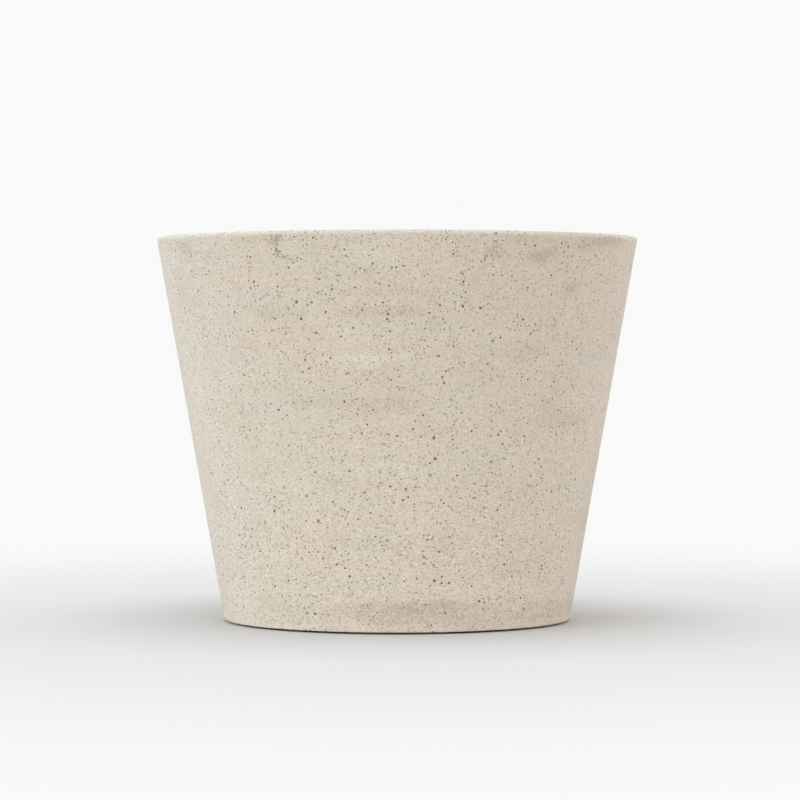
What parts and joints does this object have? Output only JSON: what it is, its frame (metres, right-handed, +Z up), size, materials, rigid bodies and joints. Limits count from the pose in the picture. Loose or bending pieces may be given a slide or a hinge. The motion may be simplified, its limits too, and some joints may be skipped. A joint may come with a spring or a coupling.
{
  "type": "bucket planter",
  "caption": "Round, tapered bucket planter cast in pale pitted fibre concrete, with a rubber drain plug that lifts out and foot pads.",
  "frame": {"origin": "middle of the surface that the planter stands on, under its foot pads", "axes": "+Z up along the planter's axis, -Y towards the viewer, +X to the viewer's right"},
  "size_m": [0.499, 0.499, 0.398],
  "materials": {
    "fibre_concrete": "matt, washed, with fine pits",
    "plug_rubber": "moulded, satin",
    "pad_rubber": "matt, cellular"
  },
  "bodies": {
    "pot": {"cast_pot": "fibre_concrete", "foot_pad_front_left": "pad_rubber", "foot_pad_front_right": "pad_rubber", "foot_pad_back_left": "pad_rubber", "foot_pad_back_right": "pad_rubber"},
    "plug": {"drain_plug": "plug_rubber"}
  },
  "joints": [
    {"name": "drain_plug_lift", "type": "slide", "parent": "pot", "child": "plug", "axis": [0, 0, 1], "range_m": [0, 0.42]}
  ]
}
